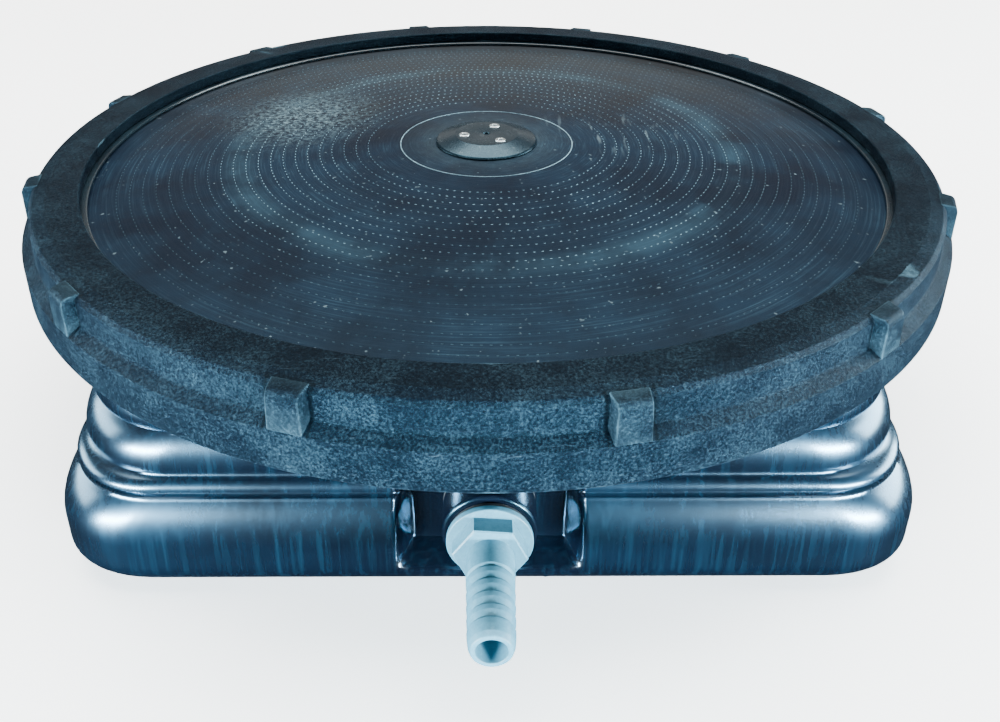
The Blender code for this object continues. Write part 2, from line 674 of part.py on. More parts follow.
def air_groove_shapes():
    """Three shallow channels that carry air from the valve chamber out under the membrane."""
    shape = bmesh.new()
    for angle in copies(SCREW_COUNT, SCREW_FIRST_ANGLE + math.pi / SCREW_COUNT):
        reach = AIR_GROOVE_REACH - CHAMBER_RADIUS / 2
        centre = Vector((CHAMBER_RADIUS / 2 + reach / 2, 0, CAP_LOW_Z))
        depth = AIR_GROOVE_DEPTH + plate_top_drop() + CLEARANCE
        place = Matrix.Rotation(angle, 4, "Z") @ Matrix.Translation(centre)
        size = Matrix.Diagonal((reach, AIR_GROOVE_WIDTH, 2 * depth, 1))
        bmesh.ops.create_cube(shape, size=1.0, matrix=place @ size)
    return shape


def on_screw_circle(angle, height):
    return Vector((SCREW_CIRCLE * math.cos(angle), SCREW_CIRCLE * math.sin(angle), height))


def screw_circle_rods(radius, low, high, segments):
    """Three upright rods on the screw circle, as one cutter."""
    shape = bmesh.new()
    for angle in copies(SCREW_COUNT, SCREW_FIRST_ANGLE):
        place = Matrix.Translation(on_screw_circle(angle, (low + high) / 2))
        bmesh.ops.create_cone(shape, cap_ends=True, segments=segments, radius1=radius, radius2=radius,
                              depth=high - low, matrix=place)
    return shape


def screw_hole_shapes():
    """Clearance holes for the three centre screws, right through the cap and blind in the hub."""
    low = CAP_TOP_Z - SCREW_LENGTH - EDGE_BREAK
    return screw_circle_rods(SCREW_SHANK_RADIUS + CLEARANCE, low, CAP_TOP_Z + CUTTER_OVERRUN, 10)


def screw_head_recesses():
    low = CAP_TOP_Z + SCREW_HEAD_STAND - SCREW_HEAD_HEIGHT - CLEARANCE
    return screw_circle_rods(SCREW_HEAD_RADIUS + CLEARANCE, low, CAP_TOP_Z + CUTTER_OVERRUN, 12)


def make_centre_cap():
    """Low cone that clamps the membrane's middle; its plug reaches the hub through the membrane's hole."""
    plastic = make_material("cap_plastic", (0.020, 0.027, 0.034), 0.32)
    plug_radius = MEMBRANE_HOLE_RADIUS - CLEARANCE
    plug_low = dome_z(0) - plate_top_drop() + CLEARANCE
    outline = [
        (0, CAP_TOP_Z - EDGE_BREAK),
        (CAP_GATE_RADIUS - CLEARANCE, CAP_TOP_Z - EDGE_BREAK),
        (CAP_GATE_RADIUS, CAP_TOP_Z),
        (CAP_TOP_RADIUS - CLEARANCE, CAP_TOP_Z),
        (CAP_TOP_RADIUS + CLEARANCE, CAP_TOP_Z - CLEARANCE),
        (CAP_BASE_RADIUS, CAP_LOW_Z + CLEARANCE),
        (CAP_BASE_RADIUS, CAP_LOW_Z),
        (plug_radius, CAP_LOW_Z),
        (plug_radius, plug_low),
        (0, plug_low),
    ]
    cap = add_object("centre_cap", turned(outline), plastic)
    cut(cap, add_object("cap_screw_holes", screw_hole_shapes()),
        add_object("cap_recesses", screw_head_recesses()))
    return cap


def make_centre_screws():
    """Three pan-head screws that share one mesh."""
    steel = make_material("stainless_steel", (0.55, 0.60, 0.62), 0.30, 1.0)
    shank_low = SCREW_HEAD_HEIGHT - SCREW_LENGTH
    outline = [
        (0, SCREW_HEAD_HEIGHT / 2),
        (SCREW_HEAD_RADIUS * 0.38, SCREW_HEAD_HEIGHT * 0.58),
        (SCREW_HEAD_RADIUS * 0.48, SCREW_HEAD_HEIGHT),
        (SCREW_HEAD_RADIUS - CLEARANCE, SCREW_HEAD_HEIGHT),
        (SCREW_HEAD_RADIUS, SCREW_HEAD_HEIGHT - CLEARANCE),
        (SCREW_HEAD_RADIUS, 0),
        (SCREW_SHANK_RADIUS, 0),
        (SCREW_SHANK_RADIUS, shank_low + SCREW_SHANK_RADIUS),
        (0, shank_low),
    ]
    head_low = CAP_TOP_Z + SCREW_HEAD_STAND - SCREW_HEAD_HEIGHT
    mesh = None
    for index, angle in enumerate(copies(SCREW_COUNT, SCREW_FIRST_ANGLE), start=1):
        screw = add_object(f"centre_screw_{index}", turned(outline, 12), steel,
                           location=on_screw_circle(angle, head_low))
        mesh = mesh or screw.data
        screw.data = mesh


def make_check_valve():
    """Valve disc on its seat, with a cross-shaped stem that guides it and lets air by."""
    rubber = make_material("valve_rubber", (0.10, 0.035, 0.025), 0.65)
    rest_z = SEAT_Z + CLEARANCE
    disc = add_object("check_valve_disc", rod(VALVE_RADIUS, 0, VALVE_THICKNESS), rubber,
                      location=(0, 0, rest_z))
    height = VALVE_STEM_LENGTH + VALVE_THICKNESS / 2
    centre = (0, 0, VALVE_THICKNESS / 2 - height / 2)
    wide = (VALVE_STEM_WIDTH, VALVE_STEM_THICKNESS, height)
    deep = (VALVE_STEM_THICKNESS, VALVE_STEM_WIDTH, height)
    join(disc, add_object("valve_stem_wide", block(wide, centre), location=(0, 0, rest_z)),
         add_object("valve_stem_deep", block(deep, centre), location=(0, 0, rest_z)))
    return disc


# ---- Fixing of the disc to the base ----
def make_hub_gasket():
    rubber = make_material("black_rubber", (0.012, 0.012, 0.013), 0.75)
    low = DECK_Z + CLEARANCE
    outline = ring_outline(SPIGOT_RADIUS + 2 * CLEARANCE, HUB_RADIUS - EDGE_BREAK, low,
                           low + HUB_GASKET_THICKNESS)
    return add_object("hub_gasket", turned(outline), rubber)


def make_lock_washer():
    plastic = make_material("grey_polypropylene", (0.060, 0.066, 0.070), 0.50)
    high = DECK_Z - DECK_THICKNESS - CLEARANCE
    outline = ring_outline(SPIGOT_RADIUS + 2 * CLEARANCE, WASHER_RADIUS, high - WASHER_THICKNESS, high)
    return add_object("lock_washer", turned(outline), plastic)


def make_lock_nut():
    plastic = make_material("black_cap", (0.020, 0.022, 0.025), 0.45)
    high = DECK_Z - DECK_THICKNESS - WASHER_THICKNESS - 2 * CLEARANCE
    nut = add_object("lock_nut", hexagon(NUT_ACROSS_FLATS, high - NUT_HEIGHT, high), plastic)
    bore = rod(SPIGOT_RADIUS + CLEARANCE, high - NUT_HEIGHT - CUTTER_OVERRUN, high + CUTTER_OVERRUN)
    cut(nut, add_object("lock_nut_bore", bore))
    return nut


# ---- Air line ----
def make_air_elbow():
    """Elbow with a vertical socket for the spigot and a front socket for the pipe."""
    plastic = make_material("grey_pvc", (0.16, 0.17, 0.18), 0.40)
    elbow = add_object("air_elbow", rod(ELBOW_HUB_RADIUS, ELBOW_LOW_Z, ELBOW_TOP_Z), plastic)
    join(elbow, add_object("elbow_leg", along_front(rod(ELBOW_RADIUS, 0, ELBOW_REACH))))
    socket_low = ELBOW_TOP_Z - ELBOW_SOCKET_DEPTH
    upright = [
        (0, ELBOW_TOP_Z + CUTTER_OVERRUN),
        (SPIGOT_RADIUS + CLEARANCE, ELBOW_TOP_Z + CUTTER_OVERRUN),
        (SPIGOT_RADIUS + CLEARANCE, socket_low),
        (SPIGOT_BORE_RADIUS, socket_low),
        (SPIGOT_BORE_RADIUS, INLET_Z - PIPE_BORE_RADIUS),
        (0, INLET_Z - PIPE_BORE_RADIUS),
    ]
    forward = [
        (0, ELBOW_REACH + CUTTER_OVERRUN),
        (SOCKET_RADIUS, ELBOW_REACH + CUTTER_OVERRUN),
        (SOCKET_RADIUS, ELBOW_REACH - ELBOW_SOCKET_DEPTH),
        (PIPE_BORE_RADIUS, ELBOW_REACH - ELBOW_SOCKET_DEPTH),
        (PIPE_BORE_RADIUS, 0),
        (0, 0),
    ]
    cut(elbow, add_object("elbow_upright_bore", turned(upright)),
        add_object("elbow_forward_bore", along_front(turned(forward))))
    return elbow


def front_piece(name, outline, material, steps=SMALL_STEPS):
    """A piece turned about the inlet's axis, whose own +Z points out of the base's front."""
    return add_object(name, turned(outline, steps), material, location=(0, 0, INLET_Z),
                      rotation=(math.pi / 2, 0, 0))


def make_air_pipe():
    plastic = make_material("grey_pvc", (0.16, 0.17, 0.18), 0.40)
    low = ELBOW_REACH - ELBOW_SOCKET_DEPTH + CLEARANCE
    outline = ring_outline(PIPE_BORE_RADIUS, PIPE_RADIUS, low, COLLAR_STOP - COLLAR_STOP_THICKNESS - CLEARANCE)
    return front_piece("air_pipe", outline, plastic)


def make_inlet_collar():
    """Round socket: the pipe's end enters from behind and the hose tail's thread from the front."""
    plastic = make_material("black_collar", (0.012, 0.014, 0.022), 0.25)
    lip = SEAL_THICKNESS
    outline = [
        (SOCKET_RADIUS, COLLAR_FRONT),
        *ellipse_arc(COLLAR_RADIUS - lip, COLLAR_FRONT - lip, lip, lip, 90, 0, 3),
        (COLLAR_RADIUS, COLLAR_SHOULDER),
        (COLLAR_NECK_RADIUS, COLLAR_SHOULDER),
        (COLLAR_NECK_RADIUS, COLLAR_BACK),
        (SOCKET_RADIUS, COLLAR_BACK),
        (SOCKET_RADIUS, COLLAR_STOP - COLLAR_STOP_THICKNESS),
        (PIPE_BORE_RADIUS, COLLAR_STOP - COLLAR_STOP_THICKNESS),
        (PIPE_BORE_RADIUS, COLLAR_STOP),
        (SOCKET_RADIUS, COLLAR_STOP),
    ]
    return front_piece("inlet_collar", outline, plastic, COLLAR_STEPS)


def make_inlet_seal():
    rubber = make_material("black_rubber", (0.012, 0.012, 0.013), 0.75)
    low = POCKET_BACK + CLEARANCE
    outline = ring_outline(COLLAR_NECK_RADIUS + CLEARANCE, COLLAR_RADIUS, low, low + SEAL_THICKNESS)
    return front_piece("inlet_seal", outline, rubber, COLLAR_STEPS)


def make_hose_tail_seal():
    rubber = make_material("black_rubber", (0.012, 0.012, 0.013), 0.75)
    low = COLLAR_FRONT + CLEARANCE
    outline = ring_outline(SOCKET_RADIUS, TAIL_FLANGE_RADIUS - 2 * CLEARANCE, low, low + SEAL_THICKNESS)
    return front_piece("hose_tail_seal", outline, rubber, COLLAR_STEPS)


def barb_outline():
    """Rounded barbs that shrink a little towards a longer, blunt tip."""
    points = []
    for index in range(BARB_COUNT):
        back = TAIL_BARREL_END + BARB_PITCH * index
        crest = BARB_CREST_RADIUS - BARB_TAPER * index / BARB_COUNT
        points.append((crest, back + BARB_PITCH * 0.25))
        points.append((crest - CLEARANCE / 2, back + BARB_PITCH * 0.65))
        points.append((BARB_ROOT_RADIUS - BARB_TAPER * index / BARB_COUNT, back + BARB_PITCH))
    last = TAIL_BARREL_END + BARB_PITCH * BARB_COUNT
    crest = BARB_CREST_RADIUS - BARB_TAPER
    points.append((crest, last + BARB_PITCH * 0.3))
    points += ellipse_arc(TIP_FACE_RADIUS, TAIL_TIP - BARB_PITCH / 2, crest - TIP_FACE_RADIUS, BARB_PITCH / 2,
                          0, 90, 3)
    return points


def make_hose_tail():
    """Threaded hose tail, with its thread, flange, hexagon, plain barrel and barbs on one through bore."""
    plastic = make_material("grey_blue_nylon", (0.165, 0.330, 0.400), 0.42)
    thread_end = TAIL_FLANGE_BACK - TAIL_THREAD_LENGTH
    outline = [
        (TAIL_BORE_RADIUS, thread_end),
        (TAIL_THREAD_RADIUS - EDGE_BREAK, thread_end),
        (TAIL_THREAD_RADIUS, thread_end + EDGE_BREAK),
        (TAIL_THREAD_RADIUS, TAIL_FLANGE_BACK),
        (TAIL_FLANGE_RADIUS, TAIL_FLANGE_BACK),
        (TAIL_FLANGE_RADIUS, TAIL_FLANGE_FRONT - CLEARANCE),
        (TAIL_FLANGE_RADIUS - CLEARANCE, TAIL_FLANGE_FRONT),
        (TAIL_BARREL_RADIUS, TAIL_FLANGE_FRONT),
        (TAIL_BARREL_RADIUS, TAIL_BARREL_END),
        *barb_outline(),
        (TAIL_BORE_RADIUS + CLEARANCE, TAIL_TIP),
        (TAIL_BORE_RADIUS, TAIL_TIP - CLEARANCE),
    ]
    tail = front_piece("hose_tail", outline, plastic)
    place = {"location": tail.location, "rotation": tail.rotation_euler}
    nut = hexagon(TAIL_HEX_ACROSS_FLATS, TAIL_FLANGE_FRONT - TAIL_FLANGE_THICKNESS / 2, TAIL_HEX_FRONT)
    nut.transform(Matrix.Rotation(math.pi / 2 + TAIL_HEX_TURN, 4, "Z"))
    join(tail, add_object("hose_tail_hexagon", nut, **place))
    bore = rod(TAIL_BORE_RADIUS, TAIL_FLANGE_BACK, TAIL_TIP - BARB_PITCH)
    cut(tail, add_object("hose_tail_bore", bore, **place))
    return tail


def build():
    clear_scene()
    make_ballast_shell()
    make_ballast_fill()
    make_well_cover()
    make_filler_cap()
    make_filler_seal()
    make_support_plate()
    make_check_valve()
    make_membrane()
    make_slip_ring()
    make_clamp_ring()
    make_centre_cap()
    make_centre_screws()
    make_hub_gasket()
    make_lock_washer()
    make_lock_nut()
    make_air_elbow()
    make_air_pipe()
    make_inlet_collar()
    make_inlet_seal()
    make_hose_tail_seal()
    make_hose_tail()


build()
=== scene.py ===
import json
import math
import random

import bmesh
import bpy
from mathutils import Matrix, Vector


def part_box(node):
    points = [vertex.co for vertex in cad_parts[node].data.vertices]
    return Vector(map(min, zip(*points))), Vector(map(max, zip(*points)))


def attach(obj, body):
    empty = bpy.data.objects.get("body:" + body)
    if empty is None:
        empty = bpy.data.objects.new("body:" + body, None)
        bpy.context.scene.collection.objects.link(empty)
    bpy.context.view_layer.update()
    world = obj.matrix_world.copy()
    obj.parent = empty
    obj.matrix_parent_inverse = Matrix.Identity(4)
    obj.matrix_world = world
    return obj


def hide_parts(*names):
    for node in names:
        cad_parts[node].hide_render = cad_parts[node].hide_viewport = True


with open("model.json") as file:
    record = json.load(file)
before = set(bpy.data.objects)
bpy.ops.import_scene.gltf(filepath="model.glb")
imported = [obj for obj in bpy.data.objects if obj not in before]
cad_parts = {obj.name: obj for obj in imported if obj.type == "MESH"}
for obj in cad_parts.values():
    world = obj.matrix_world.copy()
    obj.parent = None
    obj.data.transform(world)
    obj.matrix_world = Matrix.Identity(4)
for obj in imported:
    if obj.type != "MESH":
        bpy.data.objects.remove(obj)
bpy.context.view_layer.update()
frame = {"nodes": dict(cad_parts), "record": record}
MM = 0.001
SMOOTH_ANGLE = math.radians(38)
WELD_DISTANCE = 1e-7

# Places taken from the CAD, in metres.
RING_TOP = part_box("clamp_ring")[1][2]
SLIP_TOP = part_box("slip_ring")[1][2]
DECK_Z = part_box("ballast_shell")[1][2]
INLET_Z = (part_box("inlet_collar")[0][2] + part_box("inlet_collar")[1][2]) / 2
TAIL_TIP = -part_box("hose_tail")[0][1]
CAP_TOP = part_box("centre_cap")[1][2]

# ---------------------------------------------------------------- mesh helpers


def mesh_piece(name, points, faces, body, slot, stands_for=(), smooth=SMOOTH_ANGLE):
    """A mesh object that rides on a body, with smooth shading up to an angle."""
    mesh = bpy.data.meshes.new(name)
    mesh.from_pydata([tuple(p) for p in points], [], faces)
    mesh.validate()
    shape = bmesh.new()
    shape.from_mesh(mesh)
    bmesh.ops.remove_doubles(shape, verts=shape.verts, dist=WELD_DISTANCE)
    bmesh.ops.recalc_face_normals(shape, faces=shape.faces)
    shape.to_mesh(mesh)
    shape.free()
    mesh.polygons.foreach_set("use_smooth", [True] * len(mesh.polygons))
    mesh.set_sharp_from_angle(angle=smooth)
    obj = bpy.data.objects.new(name, mesh)
    bpy.context.scene.collection.objects.link(obj)
    if stands_for:
        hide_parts(*stands_for)
    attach(obj, body)
    return obj


def metres(corners, top=None):
    """Corners (radius, place, fillet) from millimetres; with top, place is a depth below it."""
    return [(radius * MM, place * MM if top is None else top - place * MM, fillet * MM)
            for radius, place, fillet in corners]


def filleted(corners, steps=5):
    """The closed outline through corners (out, height, fillet), each corner rounded."""
    longest = 0.49  # share of an edge that one fillet may take
    outline = []
    for index, (out, height, radius) in enumerate(corners):
        here = Vector((out, height))
        if radius <= 0:
            outline.append(here)
            continue
        back = Vector(corners[index - 1][:2]) - here
        ahead = Vector(corners[(index + 1) % len(corners)][:2]) - here
        reach = min(radius / math.tan(back.angle(ahead) / 2), longest * back.length,
                    longest * ahead.length)
        start, end = here + back.normalized() * reach, here + ahead.normalized() * reach
        for step in range(steps + 1):
            t = step / steps
            outline.append((1 - t) ** 2 * start + 2 * t * (1 - t) * here + t * t * end)
    return outline


def bridged(loops, closed=True):
    """Points and faces that join loops of equal length; when closed, also last to first."""
    points, faces = [], []
    count = len(loops[0])
    for loop in loops:
        points.extend(loop)
    for row in range(len(loops) if closed else len(loops) - 1):
        low, high = row * count, ((row + 1) % len(loops)) * count
        for index in range(count):
            after = (index + 1) % count
            faces.append((low + index, low + after, high + after, high + index))
    return points, faces


def circle(radius, z, count, turn=0.0):
    """Points round the Z axis; the first stands at the angle turn."""
    angles = [turn + 2 * math.pi * index / count for index in range(count)]
    return [Vector((radius * math.cos(a), radius * math.sin(a), z)) for a in angles]


def spun(outline, segments, place=None):
    """A closed outline of (radius, height) turned about Z, then moved by place."""
    loops = [circle(out, height, segments) for out, height in outline]
    if place:
        loops = [[place @ p for p in loop] for loop in loops]
    return bridged(loops)


def merged(*parts):
    """Several (points, faces) as one."""
    points, faces = [], []
    for part_points, part_faces in parts:
        start = len(points)
        points.extend(part_points)
        faces.extend(tuple(start + i for i in face) for face in part_faces)
    return points, faces


def eased(value):
    """0 to 1, clamped, with soft ends."""
    value = min(max(value, 0.0), 1.0)
    return value * value * (3 - 2 * value)


# ------------------------------------------------------------ material helpers

TEAL = (0.30, 0.74, 1.0, 1)
MIX_FIRST, MIX_SECOND, MIX_COLOUR = 6, 7, 2  # the Mix node's colour sockets


def wire(tree, kind, inputs=None, **settings):
    """A new node with its settings, and its inputs linked or set."""
    node = tree.nodes.new(kind)
    for key, value in settings.items():
        setattr(node, key, value)
    for key, value in (inputs or {}).items():
        if isinstance(value, bpy.types.NodeSocket):
            tree.links.new(value, node.inputs[key])
        else:
            node.inputs[key].default_value = value
    return node


def noise(tree, coords, scale, detail=4.0, rough=0.6, stretch=(1, 1, 1)):
    mapping = wire(tree, "ShaderNodeMapping", {"Vector": coords, "Scale": stretch})
    inputs = {"Vector": mapping.outputs[0], "Scale": scale, "Detail": detail, "Roughness": rough}
    return wire(tree, "ShaderNodeTexNoise", inputs).outputs[0]


def calc(tree, operation, first, second=0.5):
    return wire(tree, "ShaderNodeMath", {0: first, 1: second}, operation=operation).outputs[0]


def total(tree, first, second):
    return calc(tree, "ADD", first, second)


def product(tree, first, *others):
    for other in others:
        first = calc(tree, "MULTIPLY", first, other)
    return first


def weighed(tree, first, share, second):
    """share of first and the rest of second."""
    return total(tree, product(tree, first, share), product(tree, second, 1 - share))


def remap(tree, value, low, high, to_low, to_high, smooth=False):
    inputs = {"Value": value, "From Min": low, "From Max": high, "To Min": to_low,
              "To Max": to_high}
    kind = "SMOOTHSTEP" if smooth else "LINEAR"
    return wire(tree, "ShaderNodeMapRange", inputs, interpolation_type=kind).outputs[0]


def blended(tree, factor, first, second):
    node = wire(tree, "ShaderNodeMix", {0: factor}, data_type="RGBA")
    for key, value in ((MIX_FIRST, first), (MIX_SECOND, second)):
        if isinstance(value, bpy.types.NodeSocket):
            tree.links.new(value, node.inputs[key])
        else:
            node.inputs[key].default_value = (*value, 1)
    return node.outputs[MIX_COLOUR]


def toned(tree, factor, *stops):
    """A colour ramp with stops of (place, colour)."""
    node = wire(tree, "ShaderNodeValToRGB", {0: factor})
    band = node.color_ramp.elements
    while len(band) < len(stops):
        band.new(0.5)
    for element, (place, colour) in zip(band, stops):
        element.position = place
        element.color = (*colour, 1)
    return node.outputs[0]


def polar(tree, coords):
    """Radius in millimetres, angle in radians, and the split coordinates, about the disc's axis."""
    split = wire(tree, "ShaderNodeSeparateXYZ", {0: coords})
    x, y = split.outputs[0], split.outputs[1]
    radius = calc(tree, "SQRT", total(tree, product(tree, x, x), product(tree, y, y)))
    return product(tree, radius, 1 / MM), calc(tree, "ARCTAN2", y, x), split.outputs


def near(tree, coords, centre, reach):
    """1 at a place on the disc, fading to 0 at reach from it."""
    moved = wire(tree, "ShaderNodeMapping",
                 {"Vector": coords, "Location": (-centre[0], -centre[1], 0)}).outputs[0]
    flat = wire(tree, "ShaderNodeVectorMath", {0: moved, 1: (1 / reach[0], 1 / reach[1], 0)},
                operation="MULTIPLY").outputs[0]
    length = wire(tree, "ShaderNodeVectorMath", {0: flat}, operation="LENGTH").outputs["Value"]
    return remap(tree, length, 0, 1, 1, 0, True)


def shader(name, **constants):
    """A new material with its tree, its Principled node and its object coordinates."""
    material = bpy.data.materials.new(name)
    material.use_nodes = True
    tree = material.node_tree
    principled = tree.nodes["Principled BSDF"]
    for key, value in constants.items():
        principled.inputs[key.replace("_", " ")].default_value = value
    coords = tree.nodes.new("ShaderNodeTexCoord").outputs["Object"]
    return material, tree, principled, coords


def surface(tree, principled, colour, rough, height, strength, distance):
    """Colour, roughness and bump, linked to the shader."""
    tree.links.new(colour, principled.inputs["Base Color"])
    tree.links.new(rough, principled.inputs["Roughness"])
    bump = wire(tree, "ShaderNodeBump",
                {"Height": height, "Strength": strength, "Distance": distance})
    tree.links.new(bump.outputs[0], principled.inputs["Normal"])


def moulded(name, dark, light, rough, grain=900, patch=45, bump=0.15, speck=0.0,
            pale=(0.2, 0.25, 0.27), **constants):
    """Plastic, rubber, sand or metal: fine grain, cloudy patches, and a few pale specks."""
    material, tree, principled, coords = shader(name, **constants)
    fine = noise(tree, coords, grain, 3, 0.7)
    broad = noise(tree, coords, patch, 5, 0.62)
    mix = weighed(tree, fine, 0.45, broad)
    colour = toned(tree, mix, (0.36, dark), (0.66, light))
    if speck:
        dots = noise(tree, coords, grain * 0.7, 2, 0.5)
        colour = blended(tree, remap(tree, dots, 0.66, 0.74, 0, speck), colour, pale)
    roughness = remap(tree, mix, 0.3, 0.7, rough + 0.07, rough - 0.07)
    grain_height = 0.3 / grain
    surface(tree, principled, colour, roughness, fine, bump, grain_height)
    return material


# -------------------------------------------------------------- the clamp ring

RING_CORNERS = [  # radius, depth below the top face, fillet, in millimetres
    (149.4, 0.0, 0.7), (160.6, 0.0, 1.4), (164.8, 0.7, 1.1), (166.1, 2.1, 0.6), (166.1, 10.2, 1.5),
    (170.0, 12.9, 0.5), (170.0, 25.6, 0.8), (164.7, 25.6, 0.4), (164.7, 10.4, 0.4),
    (160.8, 10.4, 0.3), (160.8, 4.6, 0.3), (149.4, 4.6, 0.8)]
LUG_COUNT = 12
LUG_FIRST_ANGLE = math.radians(-18.0)
LUG_FOOT, LUG_DEPTH = 165.0 * MM, 4.9 * MM
LUG_HALF, LUG_OUTER_HALF = 6.0 * MM, 5.0 * MM
LUG_TOP_DRAFT, LUG_DRAFT_ENDS = 0.6 * MM, 9  # the second is a depth in millimetres
LUG_EDGE = 0.75 * MM
LUG_CORNERS = [  # radius, depth below the ring's top face, in millimetres
    (165.0, 13.3), (169.9, 13.3), (169.9, 3.0), (169.4, 1.6), (168.3, 0.8), (163.9, 0.35),
    (163.9, 3.5), (165.0, 3.5)]
SLIP_CORNERS = [(147.4, 0, 0.6), (160.0, 0, 0.3), (160.0, 1.4, 0.3), (147.4, 1.4, 0.5)]


def painted_lug_crease_shade(tree, radius, angle, z):
    """1 in the thin line of painted shade in the crease down each side of a lug, 0 elsewhere."""
    from_lug = total(tree, angle, math.pi / 2 - LUG_FIRST_ANGLE)
    beside = product(tree, calc(tree, "PINGPONG", from_lug, math.pi / LUG_COUNT), radius)
    line = product(tree, remap(tree, beside, 5.7, 6.1, 0, 1),
                   remap(tree, beside, 6.5, 7.1, 0.85, 0))
    on_wall = remap(tree, radius, 163.0, 163.8, 0, 1)
    above_skirt = remap(tree, z, RING_TOP - 13.6 * MM, RING_TOP - 12.8 * MM, 0, 1)
    return product(tree, line, on_wall, above_skirt)


def ring_material():
    """Glass-filled black plastic: mottled blue-grey, speckled, rubbed pale along its edges, with
    painted shade in the crease beside each lug.
    """
    material, tree, principled, coords = shader("ring_plastic", Specular_IOR_Level=0.06,
                                                Specular_Tint=TEAL)
    fine = noise(tree, coords, 2600, 3, 0.75)
    speckle = noise(tree, coords, 1250, 5, 0.85)
    patch = noise(tree, coords, 60, 6, 0.7)
    cloud = noise(tree, coords, 16, 4, 0.6)
    colour = toned(tree, weighed(tree, speckle, 0.75, patch), (0.41, (0.0002, 0.0005, 0.0020)),
                   (0.50, (0.0012, 0.0029, 0.0062)), (0.62, (0.0115, 0.0240, 0.0340)))
    scratches = remap(tree, noise(tree, coords, 1, 5, 0.6, (95, 900, 900)), 0.66, 0.76, 0, 0.30)
    colour = blended(tree, scratches, colour, (0.06, 0.10, 0.13))
    worn = wire(tree, "ShaderNodeNewGeometry").outputs["Pointiness"]
    rubbed = product(tree, remap(tree, worn, 0.52, 0.60, 0, 0.6),
                     remap(tree, patch, 0.4, 0.6, 0.2, 1))
    colour = blended(tree, rubbed, colour, (0.07, 0.14, 0.18))
    radius, angle, (_, _, z) = polar(tree, coords)
    # painted shade: a dark line in the crease down each side of a lug, where it meets the wall
    colour = blended(tree, painted_lug_crease_shade(tree, radius, angle, z), colour, (0.0004, 0.0009, 0.0020))
    rough = total(tree, remap(tree, cloud, 0.3, 0.7, 0.50, 0.36),
                  remap(tree, speckle, 0.3, 0.7, 0.08, -0.05))
    height = total(tree, product(tree, fine, 0.5), speckle)
    surface(tree, principled, colour, rough, height, 0.6, 0.5 * MM)
    return material


def lug(angle):
    """One grip lug: a drafted block with rounded edges."""
    shape = bmesh.new()
    turn = Matrix.Rotation(angle, 4, "Z")
    ends = []
    for side in (-1, 1):
        end = []
        for radius, depth in LUG_CORNERS:
            out = radius * MM
            outer = max(out - LUG_FOOT, 0) * (LUG_HALF - LUG_OUTER_HALF) / LUG_DEPTH
            upper = LUG_TOP_DRAFT * max(0.0, 1 - depth / LUG_DRAFT_ENDS)
            corner = Vector((side * (LUG_HALF - outer - upper), -out, RING_TOP - depth * MM))
            end.append(shape.verts.new(turn @ corner))
        ends.append(end)
    count = len(LUG_CORNERS)
    for index in range(count):
        after = (index + 1) % count
        shape.faces.new((ends[0][index], ends[0][after], ends[1][after], ends[1][index]))
    shape.faces.new(ends[0])
    shape.faces.new(list(reversed(ends[1])))
    bmesh.ops.recalc_face_normals(shape, faces=shape.faces)
    bmesh.ops.bevel(shape, geom=list(shape.edges), offset=LUG_EDGE, segments=3, profile=0.6,
                    affect="EDGES", clamp_overlap=True)
    shape.verts.index_update()
    points = [v.co.copy() for v in shape.verts]
    faces = [tuple(v.index for v in face.verts) for face in shape.faces]
    shape.free()
    return points, faces


def clamp_ring():
    parts = [spun(filleted(metres(RING_CORNERS, RING_TOP)), 360)]
    parts += [lug(LUG_FIRST_ANGLE + 2 * math.pi * i / LUG_COUNT) for i in range(LUG_COUNT)]
    ring = mesh_piece("ring_shell", *merged(*parts), "clamp_ring", "black_polypropylene",
                      ["clamp_ring"])
    ring.data.materials.append(ring_material())


def slip_ring():
    outline = filleted(metres(SLIP_CORNERS, SLIP_TOP))
    band = mesh_piece("slip_band", *spun(outline, 300), "slip_ring", "slip_ring_plastic",
                      ["slip_ring"])
    band.data.materials.append(moulded(
        "slip_plastic", (0.0015, 0.0035, 0.0060), (0.010, 0.022, 0.030), 0.22, grain=700, patch=30,
        bump=0.08, Specular_IOR_Level=0.7))


# ---------------------------------------------------------------- the membrane

MEMBRANE_EDGE = SLIP_TOP - 1.7 * MM
DOME_RADIUS, DOME = 147.4 * MM, 7.0 * MM
HUB_HOLE, SKIN = 11.5 * MM, 2 * MM
MEMBRANE_RINGS = 70
BEAD_CORNERS = [(158.2, 0), (158.9, 0.8), (158.9, 5.4), (150.1, 5.4), (150.1, 2)]  # radius, depth
SLIT_FIRST, SLIT_LAST, SLIT_ROW, SLIT_PITCH = 45.75, 139, 4.61, 2.7  # millimetres
SLIT_HALF, SLIT_HALF_MORE, SLIT_SWAY = 0.46, 0.14, 0.06
# A lip's points: share of the half length, then millimetres outward and up; and its faces.
LIP_POINTS = [(-1, 0, -0.1), (1, 0, -0.1), (-0.4, 0.28, -0.1), (0.4, 0.28, -0.1),
              (-0.4, -0.28, -0.1), (0.4, -0.28, -0.1), (-0.55, 0, 0.13), (0.55, 0, 0.13)]
LIP_FACES = [(0, 2, 6), (0, 6, 4), (1, 7, 3), (1, 5, 7), (2, 3, 7, 6), (4, 6, 7, 5),
             (0, 4, 5, 1, 3, 2)]
RIB_RADIUS = 33.2 * MM
RIB_SECTION = [(-0.28, -0.1), (-0.10, 0.14), (0.10, 0.14), (0.28, -0.1)]  # outward, up


